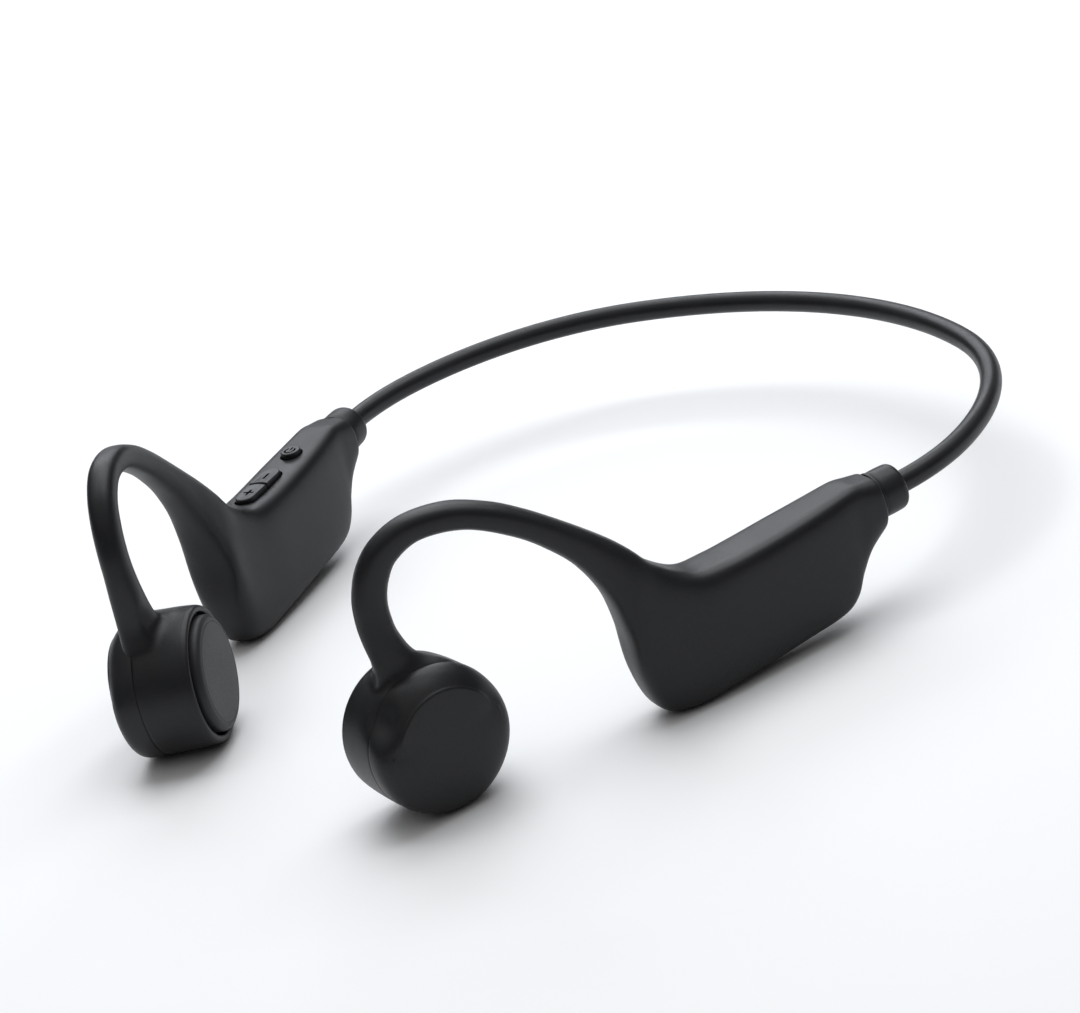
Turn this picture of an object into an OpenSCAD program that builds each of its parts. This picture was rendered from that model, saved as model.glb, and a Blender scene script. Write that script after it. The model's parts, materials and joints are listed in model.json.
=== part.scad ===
// Bone conduction headphones: a sprung neckband, two over-ear hooks with
// their electronics housings, and two transducer pods that rest on the
// cheekbones. +X is the wearer's left, -Y the front, +Z up; the origin is
// on the resting surface below the middle of the whole object.

/* [Neckband] */
// Radius of the gentle arc behind the neck
back_radius = 96; // [90:0.5:102]
// Diameter of the silicone sleeve
sleeve_d = 4; // [3.6:0.1:4.4]
// Diameter of the spring wire in the sleeve
wire_d = 1; // [0.6:0.1:1.2]
// Height of the neckband's centre line above the resting surface
band_height = 19; // [18.5:0.25:19.5]

/* [Arms] */
// Yaw of the housings, from straight back
housing_yaw = 16; // [15.5:0.25:16.5]
// How far the right hook's crown stands above the mean, and the left's below
hook_lift = 1.4; // [0:0.1:1.8]
// Half width of the hollow in each housing
pocket_half_width = 4.2; // [3.6:0.1:4.3]
// Outer radius of the collars
collar_r = 4.3; // [4.1:0.1:4.6]
// Length of the collars
collar_length = 4.6; // [4:0.1:5.6]

/* [Pods] */
// Radius of the pod drums
pod_r = 13; // [12.8:0.1:13.1]
// Yaw of the left pod's outer face
left_pod_yaw = 15; // [14:1:36]
// Yaw of the right pod's outer face
right_pod_yaw = 34; // [14:1:36]
// How far the right pod stands behind the mean, and the left in front of it
pod_stagger = 1.1; // [0:0.1:1.4]
// Radius of the skin-contact pads
pad_r = 10.6; // [10.1:0.1:10.7]
// Height of the pads above the pod's rim
pad_proud = 1.6; // [1:0.1:2]

/* [Controls] */
// Diameter of the power button
power_d = 4; // [3.4:0.1:4.4]
// Length of the two-part volume key
volume_length = 13.5; // [12:0.5:14]
// Width of the volume key
volume_width = 4.2; // [3.6:0.1:4.4]
// Gap around each key cap
key_gap = 0.22; // [0.15:0.01:0.3]
// Height that the key caps stand above the housing
key_proud = 0.9; // [0.8:0.05:1.3]

/* [Hidden] */

black = [0.08, 0.08, 0.09];
soft_black = [0.12, 0.12, 0.13];
pad_black = [0.16, 0.16, 0.17];
steel = [0.66, 0.67, 0.70];
copper = [0.80, 0.48, 0.25];
board_green = [0.07, 0.30, 0.16];
frame_grey = [0.30, 0.31, 0.33];
foil = [0.72, 0.73, 0.75];
foam_grey = [0.22, 0.22, 0.22];

origin_shift = [0, 2.4, 0];

// ---- Neckband: three arcs on each side, tangent to one another ----
back_y = 78.9;
mid_radius = 53;
side_radius = 38;
back_angle = 26;
mid_angle = 78;
side_angle = 90 + housing_yaw;
back_centre = [0, back_y - back_radius];
mid_centre = back_centre + (back_radius - mid_radius) * [sin(back_angle), cos(back_angle)];
side_centre = mid_centre + (mid_radius - side_radius) * [sin(mid_angle), cos(mid_angle)];
arc_end = side_centre + side_radius * [sin(side_angle), cos(side_angle)];
straight_end = 3.2;
band_end = arc_end + straight_end * [cos(side_angle), -sin(side_angle)];
lumen_r = 1.25;
leads_d = 0.8;
leads_offset = 0.7;
wire_offset = 0.5;

// ---- Arm outline: top and bottom edge points, half width, squareness ----
// each row is [top y, top z, bottom y, bottom z, half width, squareness]
ARM = [
    [10.5, 23.6, 10.5, 13.6, 4.9, 2.0],
    [7.5, 24.1, 5.3, 10.5, 5.0, 2.3],
    [4.0, 24.4, 2.0, 7.0, 5.1, 2.6],
    [0.0, 24.2, 0.0, 4.0, 5.5, 2.9],
    [-4.5, 23.9, -3.3, 2.4, 5.9, 3.0],
    [-10.0, 23.6, -10.5, 1.8, 6.2, 3.0],
    [-16.0, 23.3, -18.0, 1.2, 6.3, 3.0],
    [-22.0, 23.2, -27.0, 0.5, 6.3, 3.0],
    [-28.0, 23.9, -34.0, 0.1, 6.0, 2.9],
    [-33.3, 27.6, -39.0, 2.2, 5.6, 2.7],
    [-36.3, 31.8, -41.2, 9.5, 5.2, 2.6],
    [-39.0, 35.2, -41.4, 18.0, 4.5, 2.5],
    [-42.5, 39.0, -42.4, 26.0, 3.7, 2.4],
    [-46.5, 43.0, -45.2, 33.2, 3.2, 2.3],
    [-50.5, 46.7, -48.8, 38.4, 3.0, 2.2],
    [-55.0, 50.1, -53.2, 43.0, 2.9, 2.2],
    [-61.0, 52.9, -59.5, 47.3, 2.8, 2.2],
    [-67.5, 53.1, -65.6, 48.3, 2.7, 2.2],
    [-72.3, 50.5, -69.5, 46.2, 2.6, 2.2],
    [-75.3, 46.3, -71.4, 43.0, 2.6, 2.2],
    [-76.9, 41.3, -72.4, 39.4, 2.6, 2.2],
    [-77.4, 36.8, -72.6, 36.0, 2.7, 2.2],
    [-77.4, 32.5, -72.3, 32.3, 3.0, 2.2],
    [-77.0, 27.7, -70.8, 27.7, 3.5, 2.2],
    [-77.0, 24.0, -67.5, 25.2, 3.9, 2.2],
    [-77.2, 20.5, -64.5, 22.0, 4.0, 2.2]
];
lift_from = 9;
lift_to = 23;
skin_steps = 2;
skin_sides = 26;
wire_sides = 8;
channel_r = 1.15;
hook_wire_r = 0.45;
hook_leads_r = 0.32;
hook_from = 9;
hook_to = 23.5;
channel_from = 8;
channel_to = 24;

// the arm's line in plan is straight behind the bend and curves in before it
bend_y = -28;
bend_x = 58;
plan_curve = 0.0054;
function plan_x(y) = bend_x + tan(housing_yaw) * (y - bend_y) - plan_curve * pow(min(0, y - bend_y), 2);
function plan_side(y) =
    let (slope = plan_x(y + 0.5) - plan_x(y - 0.5))
    [1, -slope, 0] / norm([1, -slope]);

// Catmull-Rom value of the outline rows at station s
function row(i) =
    i < 0 ? 2 * ARM[0] - ARM[1] :
    i > len(ARM) - 1 ? 2 * ARM[len(ARM) - 1] - ARM[len(ARM) - 2] : ARM[i];
function blend_rows(a, b, c, d, t) =
    0.5 * (2 * b + (c - a) * t + (2 * a - 5 * b + 4 * c - d) * t * t + (3 * b - a - 3 * c + d) * t * t * t);
function station(s) =
    let (i = min(floor(s), len(ARM) - 2))
    blend_rows(row(i - 1), row(i), row(i + 1), row(i + 2), s - i);
function lift_at(s, lift) = s <= lift_from || s >= lift_to ? 0
    : lift * sin(180 * (s - lift_from) / (lift_to - lift_from));
function top_point(r, up) = [plan_x(r[0]), r[0], r[1] + up];
function bottom_point(r, up) = [plan_x(r[2]), r[2], r[3] + up];
function power_of(v, e) = sign(v) * pow(abs(v), e);

function skin_ring(s, lift) =
    let (
        r = station(s),
        up = lift_at(s, lift),
        middle = (top_point(r, up) + bottom_point(r, up)) / 2,
        half = (top_point(r, up) - bottom_point(r, up)) / 2,
        side = r[4] * plan_side((r[0] + r[2]) / 2),
        e = 2 / r[5]
    )
    [for (k = [0 : skin_sides - 1])
        let (a = 360 * k / skin_sides)
        middle + power_of(cos(a), e) * half + power_of(sin(a), e) * side];

// a ring of a round tube along the hook, moved towards its top by shift
function tube_ring(s, lift, r, shift) =
    let (
        q = station(s),
        up = lift_at(s, lift),
        middle = (top_point(q, up) + bottom_point(q, up)) / 2,
        half = (top_point(q, up) - bottom_point(q, up)) / 2,
        away = half / norm(half),
        side = plan_side((q[0] + q[2]) / 2)
    )
    [for (k = [0 : wire_sides - 1])
        let (a = 360 * k / wire_sides)
        middle + (shift + r * cos(a)) * away + r * sin(a) * side];

// a solid sweep through a list of rings, closed at both ends
module sweep(rings) {
    n = len(rings);
    m = len(rings[0]);
    points = [for (ring = rings) for (p = ring) p];
    sides = [for (i = [0 : n - 2]) for (k = [0 : m - 1])
        [i * m + k, i * m + (k + 1) % m, (i + 1) * m + (k + 1) % m, (i + 1) * m + k]];
    start = [for (k = [m - 1 : -1 : 0]) k];
    end = [for (k = [0 : m - 1]) (n - 1) * m + k];
    polyhedron(points = points, faces = concat([start], sides, [end]), convexity = 10);
}

// a hollow sweep: the rings run out along the outside and back along the bore
module tube(rings) {
    n = len(rings);
    m = len(rings[0]);
    points = [for (ring = rings) for (p = ring) p];
    sides = [for (i = [0 : n - 1]) for (k = [0 : m - 1])
        let (j = (i + 1) % n)
        [i * m + k, i * m + (k + 1) % m, j * m + (k + 1) % m, j * m + k]];
    polyhedron(points = points, faces = sides, convexity = 10);
}

module hook_tube(lift, r, shift, from, to) {
    steps = ceil((to - from) * 2);
    sweep([for (i = [0 : steps]) tube_ring(from + (to - from) * i / steps, lift, r, shift)]);
}

// air left where two pieces meet face to face
seam = 0.02;

// ---- Places ----
module whole() {
    translate(origin_shift) children();
}

// the right side is the left side's mirror image
module on_side(right) {
    whole() mirror([right ? 1 : 0, 0, 0]) children();
}

// housing frame: X outward, Y to the rear along the housing, Z up
housing_y = -18;
module in_housing() {
    translate([plan_x(housing_y), housing_y, 0]) rotate([0, 0, -housing_yaw]) children();
}

// pod frame: Z along the outward normal, X down
pod_centre = [34.2, -71.5, 13];
function pod_place(right) = pod_centre + [0, right ? pod_stagger : -pod_stagger, 0];
function pod_yaw(right) = right ? right_pod_yaw : left_pod_yaw;
module in_pod(right) {
    translate(pod_place(right)) rotate([0, 90, -pod_yaw(right)]) children();
}

// ---- Neckband pieces ----
// point and heading of the neckband's line, t from -1 at the right to 1 at the left
function band_angle(t) = side_angle * t;
function band_arc_centre(a) = a < back_angle ? back_centre : a < mid_angle ? mid_centre : side_centre;
function band_arc_radius(a) = a < back_angle ? back_radius : a < mid_angle ? mid_radius : side_radius;
function band_point(t) =
    let (
        a = abs(band_angle(t)),
        p = band_arc_centre(a) + band_arc_radius(a) * [sin(a), cos(a)]
    )
    [sign(t) * p[0], p[1]];

function band_ring(t, r, shift, sides) =
    let (a = band_angle(t), p = band_point(t))
    [for (k = [0 : sides - 1])
        let (w = 360 * k / sides)
        [p[0] + r * cos(w) * sin(a), p[1] + r * cos(w) * cos(a), band_height + shift - r * sin(w)]];

// wider steps where the curve is gentle in angle, closer where it is long
back_steps = 14;
bend_steps = 13;
BAND_T = concat(
    [for (i = [0 : bend_steps - 1]) -1 + (1 - back_angle / side_angle) * i / bend_steps],
    [for (i = [0 : back_steps]) back_angle / side_angle * (2 * i / back_steps - 1)],
    [for (i = [1 : bend_steps]) (back_angle + (side_angle - back_angle) * i / bend_steps) / side_angle]
);
sleeve_sides = 20;
lead_sides = 8;

// the rings of a tube along the whole neckband, with a straight end in each collar
function end_ring(t, r, shift, sides) =
    [for (p = band_ring(t, r, shift, sides)) p + straight_end * [t * cos(side_angle), -sin(side_angle), 0]];
function band_rings(r, shift, sides) = concat(
    [end_ring(-1, r, shift, sides)],
    [for (t = BAND_T) band_ring(t, r, shift, sides)],
    [end_ring(1, r, shift, sides)]
);

module band_cord(r, shift) {
    sweep(band_rings(r, shift, lead_sides));
}

module neckband_sleeve() {
    outer = band_rings(sleeve_d / 2, 0, sleeve_sides);
    inner = band_rings(lumen_r, 0, sleeve_sides);
    back = [for (i = [len(inner) - 1 : -1 : 0]) inner[i]];
    color(black) whole() tube(concat(outer, back));
}

module neckband_spring_wire() {
    color(steel) whole() band_cord(wire_d / 2, wire_offset);
}

module neckband_leads() {
    color(copper) whole() band_cord(leads_d / 2, -leads_offset);
}

// ---- Arm pieces ----
pocket_bottom = 3.4;
pocket_top = 20.6;
pocket_front = -15;
pocket_rear = 16;
pocket_corner = 2;
pod_fit = 0.03;

module pocket_outline() {
    offset(r = pocket_corner, $fn = 24) polygon([
        [pocket_front - 1, pocket_bottom + pocket_corner],
        [pocket_rear - pocket_corner - 1, pocket_bottom + pocket_corner + 1],
        [pocket_rear, 9],
        [pocket_rear + 4, 14],
        [pocket_rear + 8, 16.2],
        [pocket_rear + 8, pocket_top - pocket_corner],
        [pocket_front, pocket_top - pocket_corner]
    ]);
}

module housing_pocket() {
    in_housing() translate([-pocket_half_width, 0, 0])
        rotate([90, 0, 90]) linear_extrude(height = 2 * pocket_half_width) pocket_outline();
}

// pod drum's outer profile, grown by extra
cap_from = 3;
outer_face = 8.6;
outer_face_r = 10.9;
rim = -7.6;
rim_r = 12.3;
module drum_profile(extra) {
    steps = 8;
    polygon(concat(
        [[0, outer_face + extra]],
        [for (i = [0 : steps])
            let (a = 90 * i / steps)
            [outer_face_r + extra + (pod_r - outer_face_r) * sin(a),
             cap_from + (outer_face + extra - cap_from) * cos(a)]],
        [for (i = [1 : steps])
            let (a = 90 * i / steps)
            [rim_r + extra + (pod_r - rim_r) * cos(a),
             cap_from + (rim - extra - cap_from) * sin(a)]],
        [[0, rim - extra]]
    ));
}

module collar_axis() {
    translate([band_end[0], band_end[1], band_height])
        rotate([0, 0, -housing_yaw]) rotate([-90, 0, 0]) children();
}

key_front = -7.6;
key_inward = -0.2;
power_y = 12.4;
volume_y = key_front + volume_length / 2;
volume_slit = 0.3;
usb_y = 5;
usb_width = 9;
usb_depth = 3.2;
usb_height = 6.8;
usb_bottom = 3.6;
cover_length = 12.4;
cover_width = 5.2;
cover_top = 3.1;
cover_gap = 0.3;
cover_front = usb_y - cover_length / 2;
mic_y = -12;
mic_hole_r = 0.5;

module pill(length, width, height) {
    linear_extrude(height = height) hull() {
        translate([0, (length - width) / 2]) circle(d = width, $fn = 32);
        translate([0, (width - length) / 2]) circle(d = width, $fn = 32);
    }
}

module control_openings() {
    in_housing() {
        translate([key_inward, power_y, pocket_top - 3])
            cylinder(d = power_d + 2 * key_gap, h = 10, $fn = 40);
        translate([key_inward, volume_y, pocket_top - 3])
            pill(volume_length + 2 * key_gap, volume_width + 2 * key_gap, 10);
        translate([-usb_depth / 2 - key_gap, usb_y - usb_width / 2 - key_gap, -5])
            cube([usb_depth + 2 * key_gap, usb_width + 2 * key_gap, 12]);
        translate([-cover_width / 2 - cover_gap, cover_front - cover_gap, -5])
            cube([cover_width + 2 * cover_gap, cover_length + 2 * cover_gap, 5 + cover_top]);
        translate([0, mic_y, -5]) cylinder(r = mic_hole_r, h = 12, $fn = 16);
    }
}

module arm_skin(right) {
    lift = right ? hook_lift : -hook_lift;
    last = (len(ARM) - 1) * skin_steps;
    color(black) on_side(right) difference() {
        resize([0, 0, 0]) difference() {
            sweep([for (i = [0 : last]) skin_ring(i / skin_steps, lift)]);
            housing_pocket();
            hook_tube(lift, channel_r, 0, channel_from, channel_to);
            in_pod(right) rotate_extrude($fn = 64) drum_profile(pod_fit);
        }
        collar_axis() translate([0, 0, -sleeve_room]) cylinder(r = collar_bore_r, h = 20, $fn = 32);
        if (right) control_openings();
    }
}

collar_bore_r = sleeve_d / 2 + 0.1;
collar_start = ARM[0][0];
collar_lip = 1.2;
collar_soft = 0.35;
sleeve_room = 8;
module collar(right) {
    start = (collar_start - band_end[1]) / cos(housing_yaw) + seam;
    color(black) on_side(right) collar_axis() translate([0, 0, start])
        rotate_extrude($fn = 64) polygon([
            [collar_bore_r, 0],
            [collar_r, 0],
            [collar_r, collar_length - collar_lip],
            [collar_r - collar_soft, collar_length - collar_soft],
            [collar_r - collar_lip, collar_length],
            [collar_bore_r, collar_length]
        ]);
}

module hook_wire(right) {
    lift = right ? hook_lift : -hook_lift;
    color(steel) on_side(right) hook_tube(lift, hook_wire_r, wire_offset, hook_from, hook_to);
}

module hook_leads(right) {
    lift = right ? hook_lift : -hook_lift;
    color(copper) on_side(right) hook_tube(lift, hook_leads_r, -wire_offset, hook_from, hook_to);
}

// a ring frame that lines the pocket and stiffens the soft skin
frame_gap = 0.1;
frame_wall = 0.9;
frame_room = 1;
frame_drop = 0.4;
hook_hole_z = 14;
hook_hole_r = 1.8;
module housing_frame(right) {
    half = pocket_half_width - frame_gap;
    color(frame_grey) on_side(right) in_housing() difference() {
        translate([-half, 0, 0]) rotate([90, 0, 90]) linear_extrude(height = 2 * half)
            difference() {
                offset(delta = -frame_gap) pocket_outline();
                offset(delta = -frame_gap - frame_wall) pocket_outline();
            }
        if (right) {
            translate([key_inward, power_y, pocket_top - 3])
                cylinder(d = power_d + 2 * frame_room, h = 6, $fn = 40);
            translate([key_inward, volume_y, pocket_top - 3])
                pill(volume_length + 2 * frame_room, volume_width + 1.2, 6);
            translate([-half - 1, usb_y - usb_width / 2 - key_gap, 0])
                cube([2 * half + 2, usb_width + 2 * key_gap, 6]);
            translate([0, mic_y, 0]) cylinder(r = 2 * mic_hole_r, h = 6, $fn = 24);
        }
        translate([0, pocket_front - 2, hook_hole_z]) rotate([90, 0, 0])
            cylinder(r = hook_hole_r, h = 6, center = true, $fn = 24);
        translate([0, pocket_rear + 8, band_height - frame_drop]) rotate([90, 0, 0])
            cylinder(r = lumen_r, h = 8, center = true, $fn = 24);
    }
}

// ---- Pod pieces, built along the pod's axis ----
shell = 1.5;
rim_height = 1.2;
bore_r = 11.4;
lip_from = -5.5;
lip_r = pad_r + 0.4;
lead_hole_r = 1.6;
lead_hole_y = -73.8;
lead_hole_up = 9;
module pod_body(right) {
    color(soft_black) on_side(right) difference() {
        in_pod(right) rotate_extrude($fn = 96) intersection() {
            difference() {
                drum_profile(0);
                translate([-1, lip_from]) square([bore_r + 1, 20]);
                translate([-1, rim - 1]) square([lip_r + 1, 20]);
            }
            translate([0, rim - 1]) square([pod_r + 1, cap_from - rim + 1]);
        }
        translate([plan_x(lead_hole_y), lead_hole_y, pod_centre[2] + lead_hole_up])
            cylinder(r = lead_hole_r, h = 8, $fn = 32);
    }
}

module pod_cap(right) {
    color(black) on_side(right) in_pod(right) rotate_extrude($fn = 96) difference() {
        intersection() {
            drum_profile(0);
            translate([0, cap_from + seam]) square([pod_r + 1, 20]);
        }
        translate([-1, 0]) square([outer_face_r + 0.2, outer_face - shell]);
        translate([-1, 0]) square([bore_r + 1, cap_from + rim_height]);
    }
}

pad_top = rim - pad_proud;
pad_base = -6.6;
pad_round = 0.8;
plate_r = 9.2;
plate_back = -5.9;
module contact_pad(right) {
    color(pad_black) on_side(right) in_pod(right) rotate_extrude($fn = 96)
        polygon(concat(
            [[0, pad_base], [pad_r, pad_base]],
            [for (i = [0 : 6])
                let (a = 15 * i)
                [pad_r - pad_round + pad_round * cos(a), pad_top + pad_round - pad_round * sin(a)]],
            [[0, pad_top]]
        ));
}

boss_from = 6;
boss_to = 7;
module vibration_plate(right) {
    color(steel) on_side(right) in_pod(right) rotate_extrude($fn = 96) {
        translate([0, pad_base]) square([plate_r, plate_back - pad_base]);
        translate([boss_from, plate_back]) square([boss_to - boss_from, lip_from - plate_back]);
    }
}

coil_in = 4.4;
coil_out = 5.4;
coil_back = -1.6;
module voice_coil(right) {
    color(copper) on_side(right) in_pod(right) rotate_extrude($fn = 96)
        translate([coil_in, plate_back]) square([coil_out - coil_in, coil_back - plate_back]);
}

magnet_r = 3.8;
gap_front = -4.4;
gap_back = -3.4;
yoke_floor = 1;
yoke_back = 2.2;
yoke_in = 6.1;
yoke_out = 7.4;
module magnet(right) {
    color(foil) on_side(right) in_pod(right) translate([0, 0, gap_back])
        cylinder(r = magnet_r, h = yoke_floor - gap_back, $fn = 64);
}

module pole_plate(right) {
    color(steel) on_side(right) in_pod(right) translate([0, 0, gap_front])
        cylinder(r = magnet_r + 0.1, h = gap_back - gap_front, $fn = 64);
}

module yoke(right) {
    color(steel) on_side(right) in_pod(right) rotate_extrude($fn = 96) {
        translate([0, yoke_floor]) square([yoke_out, yoke_back - yoke_floor]);
        translate([yoke_in, gap_front]) square([yoke_out - yoke_in, yoke_back - gap_front]);
    }
}

spring_thick = 0.25;
frame_in = 10;
web = 1;
module driver_frame(right) {
    color(frame_grey) on_side(right) in_pod(right) rotate_extrude($fn = 96) {
        translate([yoke_out, yoke_back - web]) square([bore_r - yoke_out, web]);
        translate([frame_in, lip_from + spring_thick])
            square([bore_r - frame_in, yoke_back - lip_from - spring_thick]);
    }
}

spring_arms = 3;
spring_arm_width = 1.6;
module suspension_spring(right) {
    color(steel) on_side(right) in_pod(right) translate([0, 0, lip_from])
        linear_extrude(height = spring_thick) {
            difference() {
                circle(r = bore_r, $fn = 96);
                circle(r = frame_in, $fn = 96);
            }
            difference() {
                circle(r = boss_to + 0.8, $fn = 96);
                circle(r = boss_from, $fn = 96);
            }
            for (i = [0 : spring_arms - 1])
                rotate(i * 360 / spring_arms) translate([boss_to + 0.4, -spring_arm_width / 2])
                    square([frame_in - boss_to, spring_arm_width]);
        }
}

// ---- Left housing: the battery side ----
cell_y = -14.5;
cell_length = 25;
cell_bottom = 6.4;
cell_height = 11.5;
cell_half = 2.4;
cell_corner = 1;
cell_board_thick = 0.8;
module battery_cell() {
    color(foil) on_side(false) in_housing() translate([-cell_half, cell_y, cell_bottom])
        rotate([90, 0, 90]) linear_extrude(height = 2 * cell_half)
            translate([cell_corner, cell_corner]) offset(r = cell_corner, $fn = 24)
                square([cell_length - 2 * cell_corner, cell_height - 2 * cell_corner]);
}

module battery_board() {
    color(board_green) on_side(false) in_housing()
        translate([-cell_half, cell_y + cell_length + 0.1, cell_bottom + 1])
            cube([2 * cell_half, cell_board_thick, cell_height - 3]);
}

module battery_foam() {
    color(foam_grey) on_side(false) in_housing()
        translate([cell_half + 0.05, cell_y + 1, cell_bottom + 1])
            cube([pocket_half_width - cell_half - 0.15, cell_length - 2, cell_height - 2]);
}

// ---- Right housing: the control side ----
board_thick = 0.8;
board_x = -1.9;
board_bottom = 5.4;
board_top = 16.2;
board_front = pocket_front + 0.5;
board_length = 27;
PEG_Y = [-8, 9];
peg_d = 1.4;
module main_board() {
    color(board_green) on_side(true) in_housing() difference() {
        translate([board_x - board_thick, board_front, board_bottom])
            cube([board_thick, board_length, board_top - board_bottom]);
        for (y = PEG_Y)
            translate([board_x - 2, y, board_top - 2]) rotate([0, 90, 0])
                cylinder(d = peg_d, h = 4, $fn = 24);
    }
}

can_y = -11;
can_z = 7;
can_side_y = 9;
can_side_z = 7;
can_deep = 1.8;
can_wall = 0.25;
module radio_shield() {
    color(foil) on_side(true) in_housing() difference() {
        translate([board_x + seam, can_y, can_z]) cube([can_deep, can_side_y, can_side_z]);
        translate([board_x - 1, can_y + can_wall, can_z + can_wall])
            cube([1 + seam + can_deep - can_wall, can_side_y - 2 * can_wall, can_side_z - 2 * can_wall]);
    }
}

keys_z = 17.3;
key_board_x = -3.6;
key_board_y = -11;
key_board_width = 6.4;
key_board_length = 25.5;
module button_board() {
    color(board_green) on_side(true) in_housing()
        translate([key_board_x, key_board_y, keys_z - board_thick])
            cube([key_board_width, key_board_length, board_thick]);
}

switch_height = 1.3;
switch_side = 3.2;
switch_base = 0.9;
plunger_r = 0.9;
key_travel = 0.45;
key_foot = keys_z + switch_height + key_travel + 0.1;
SWITCH_Y = [power_y, volume_y + volume_length / 4, volume_y - volume_length / 4];
module tact_switches() {
    color(steel) on_side(true) in_housing() for (y = SWITCH_Y) {
        translate([key_inward - switch_side / 2, y - switch_side / 2, keys_z])
            cube([switch_side, switch_side, switch_base]);
        translate([key_inward, y, keys_z + switch_base])
            cylinder(r = plunger_r, h = switch_height - switch_base, $fn = 32);
    }
}

flange = 0.45;
flange_top = pocket_top - 0.25;
mark_depth = 0.25;
mark_width = 0.35;
mark_reach = 1;
key_chamfer = 0.3;
// the housing's top face stands this high where each key comes through it
power_deck = 24.0;
volume_deck = 23.3;

// an open ring with an upright bar in its gap
ring_r = 0.95;
ring_width = 0.3;
module power_mark() {
    difference() {
        cylinder(r = ring_r, h = 1, $fn = 32);
        translate([0, 0, -1]) cylinder(r = ring_r - ring_width, h = 3, $fn = 32);
        translate([-ring_width, 0, -1]) cube([2 * ring_width, 2, 3]);
    }
    translate([-ring_width / 2, 0.2, 0]) cube([ring_width, 1.1, 1]);
}

module power_button() {
    top = power_deck + key_proud;
    color(soft_black) on_side(true) in_housing() translate([key_inward, power_y, 0]) difference() {
        union() {
            translate([0, 0, key_foot])
                cylinder(d = power_d + 2 * flange, h = flange_top - key_foot, $fn = 40);
            translate([0, 0, key_foot]) cylinder(d = power_d, h = top - key_chamfer - key_foot, $fn = 40);
            translate([0, 0, top - key_chamfer])
                cylinder(d1 = power_d, d2 = power_d - 2 * key_chamfer, h = key_chamfer, $fn = 40);
        }
        translate([0, 0, top - mark_depth]) power_mark();
    }
}

module half_pill(up, height, grow) {
    intersection() {
        pill(volume_length + 2 * grow, volume_width + 2 * grow, height);
        translate([-5, up ? -20 : volume_slit / 2, -1]) cube([10, 20 - volume_slit / 2, height + 2]);
    }
}

module volume_key(up) {
    top = volume_deck + key_proud;
    mark_y = (up ? -1 : 1) * volume_length / 4;
    color(soft_black) on_side(true) in_housing() translate([key_inward, volume_y, 0]) difference() {
        union() {
            translate([0, 0, key_foot]) half_pill(up, flange_top - key_foot, flange);
            translate([0, 0, key_foot]) half_pill(up, top - key_foot - key_chamfer, 0);
            translate([0, 0, top - key_chamfer]) half_pill(up, key_chamfer, -key_chamfer);
        }
        translate([-mark_width / 2, mark_y - mark_reach, top - mark_depth])
            cube([mark_width, 2 * mark_reach, 1]);
        if (up) translate([-mark_reach, mark_y - mark_width / 2, top - mark_depth])
            cube([2 * mark_reach, mark_width, 1]);
    }
}

module volume_up_button() {
    volume_key(true);
}

module volume_down_button() {
    volume_key(false);
}

usb_shell = 0.3;
tongue_thick = 0.7;
tongue_in = 0.9;
module usb_port() {
    color(steel) on_side(true) in_housing() translate([0, usb_y, usb_bottom]) difference() {
        translate([-usb_depth / 2, -usb_width / 2, 0]) cube([usb_depth, usb_width, usb_height]);
        translate([-usb_depth / 2 + usb_shell, -usb_width / 2 + usb_shell, -1])
            difference() {
                cube([usb_depth - 2 * usb_shell, usb_width - 2 * usb_shell, usb_height]);
                translate([(usb_depth - 2 * usb_shell - tongue_thick) / 2, tongue_in, 0])
                    cube([tongue_thick, usb_width - 2 * usb_shell - 2 * tongue_in, usb_height]);
            }
    }
}

cover_bottom = 1.7;
module port_cover() {
    color(soft_black) on_side(true) in_housing() translate([-cover_width / 2, cover_front, cover_bottom])
        cube([cover_width, cover_length, cover_top - 0.1 - cover_bottom]);
}

mic_size = [2.4, 3.4, 1.1];
mic_floor = 5;
module microphone() {
    color(foil) on_side(true) in_housing() difference() {
        translate([-mic_size[0] / 2, mic_y - mic_size[1] / 2, mic_floor]) cube(mic_size);
        translate([0, mic_y, mic_floor - 1]) cylinder(r = 0.3, h = 1.6, $fn = 24);
    }
}

antenna_size = [1.2, 6.5, 2.2];
antenna_y = 15;
antenna_z = 17.2;
module antenna() {
    color(copper) on_side(true) in_housing() translate([1.2 - pocket_half_width, antenna_y, antenna_z])
        cube(antenna_size);
}

neckband_sleeve();
neckband_spring_wire();
neckband_leads();
arm_skin(false);  // left_arm_skin
collar(false);  // left_collar
hook_wire(false);  // left_hook_wire
hook_leads(false);  // left_hook_leads
housing_frame(false);  // left_housing_frame
pod_body(false);  // left_pod_body
pod_cap(false);  // left_pod_cap
contact_pad(false);  // left_contact_pad
vibration_plate(false);  // left_vibration_plate
voice_coil(false);  // left_voice_coil
magnet(false);  // left_magnet
pole_plate(false);  // left_pole_plate
yoke(false);  // left_yoke
driver_frame(false);  // left_driver_frame
suspension_spring(false);  // left_suspension_spring
arm_skin(true);  // right_arm_skin
collar(true);  // right_collar
hook_wire(true);  // right_hook_wire
hook_leads(true);  // right_hook_leads
housing_frame(true);  // right_housing_frame
pod_body(true);  // right_pod_body
pod_cap(true);  // right_pod_cap
contact_pad(true);  // right_contact_pad
vibration_plate(true);  // right_vibration_plate
voice_coil(true);  // right_voice_coil
magnet(true);  // right_magnet
pole_plate(true);  // right_pole_plate
yoke(true);  // right_yoke
driver_frame(true);  // right_driver_frame
suspension_spring(true);  // right_suspension_spring
battery_cell();
battery_board();
battery_foam();
main_board();
radio_shield();
button_board();
tact_switches();
power_button();
volume_up_button();
volume_down_button();
usb_port();
port_cover();
microphone();
antenna();
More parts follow.
